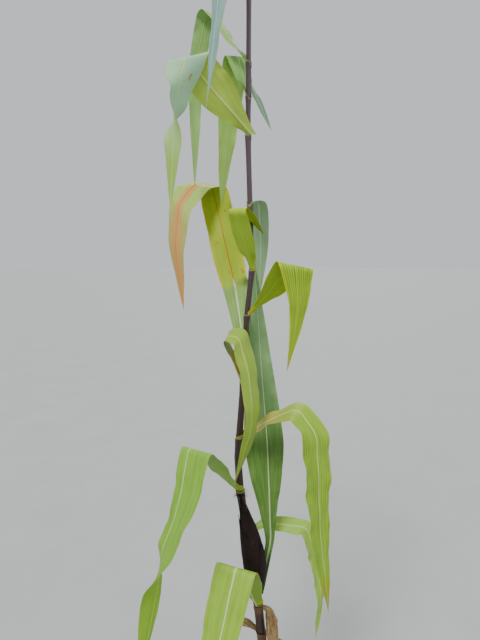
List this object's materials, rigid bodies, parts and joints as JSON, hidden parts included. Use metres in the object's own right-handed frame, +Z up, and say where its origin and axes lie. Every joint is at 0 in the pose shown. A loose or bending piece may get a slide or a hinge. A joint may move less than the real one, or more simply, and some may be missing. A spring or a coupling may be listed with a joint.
{
  "type": "maize plant",
  "caption": "Standing field maize plant: tall purple-brown stem, folded and drooping strap leaves, one dark ear, withered lower leaves and an open tassel.",
  "frame": {"origin": "middle of the stem's flat cut at ground level", "axes": "+Z up along the plant, +X to the right and +Y away from someone who looks at the side with the ear"},
  "size_m": [0.5363, 0.5239, 2.9804],
  "materials": {
    "stem": "smooth waxy purple-brown rind with pale rings",
    "ear": "dark purple-brown ribbed husks",
    "leaf": "fresh green, fine lengthwise veins and a white midrib",
    "leaf_yellow": "green turning yellow, orange-brown midrib and margins",
    "leaf_blue": "waxy blue-green, fine lengthwise veins",
    "leaf_dry": "withered tan-brown, papery and creased",
    "tassel": "dull purple-brown spikelets"
  },
  "bodies": {
    "root": {"stem": "stem", "ear": "ear", "leaf_1_inner": "leaf", "leaf_1_outer": "leaf", "leaf_2": "leaf", "leaf_3_inner": "leaf", "leaf_3_outer": "leaf", "leaf_4_inner": "leaf", "leaf_4_outer": "leaf", "leaf_5_inner": "leaf", "leaf_5_outer": "leaf", "leaf_6_inner": "leaf_yellow", "leaf_6_outer": "leaf_yellow", "leaf_7_inner": "leaf_yellow", "leaf_7_outer": "leaf_yellow", "leaf_8_inner": "leaf", "leaf_8_outer": "leaf", "leaf_9_inner": "leaf_blue", "leaf_9_outer": "leaf_blue", "leaf_10_inner": "leaf_yellow", "leaf_10_outer": "leaf_blue", "leaf_11_inner": "leaf_blue", "leaf_11_outer": "leaf_blue", "leaf_12": "leaf_blue", "leaf_13_inner": "leaf_blue", "leaf_13_outer": "leaf_blue", "leaf_14_inner": "leaf_blue", "leaf_14_outer": "leaf_blue", "leaf_15_inner": "leaf_blue", "leaf_15_outer": "leaf_blue", "leaf_16": "leaf_blue", "husk_leaf_inner": "leaf", "husk_leaf_outer": "leaf", "dry_leaf_1_inner": "leaf_dry", "dry_leaf_1_outer": "leaf_dry", "dry_leaf_2_inner": "leaf_dry", "dry_leaf_2_outer": "leaf_dry", "dry_leaf_3_inner": "leaf_dry", "dry_leaf_3_outer": "leaf_dry", "dry_leaf_4_inner": "leaf_dry", "dry_leaf_4_outer": "leaf_dry", "tassel_spike": "tassel", "tassel_branch_1": "tassel", "tassel_branch_2": "tassel", "tassel_branch_3": "tassel", "tassel_branch_4": "tassel", "tassel_branch_5": "tassel", "tassel_branch_6": "tassel", "tassel_branch_7": "tassel", "tassel_branch_8": "tassel", "tassel_branch_9": "tassel", "tassel_branch_10": "tassel", "tassel_branch_11": "tassel", "tassel_branch_12": "tassel", "tassel_branch_13": "tassel", "tassel_branch_14": "tassel"}
  },
  "joints": []
}
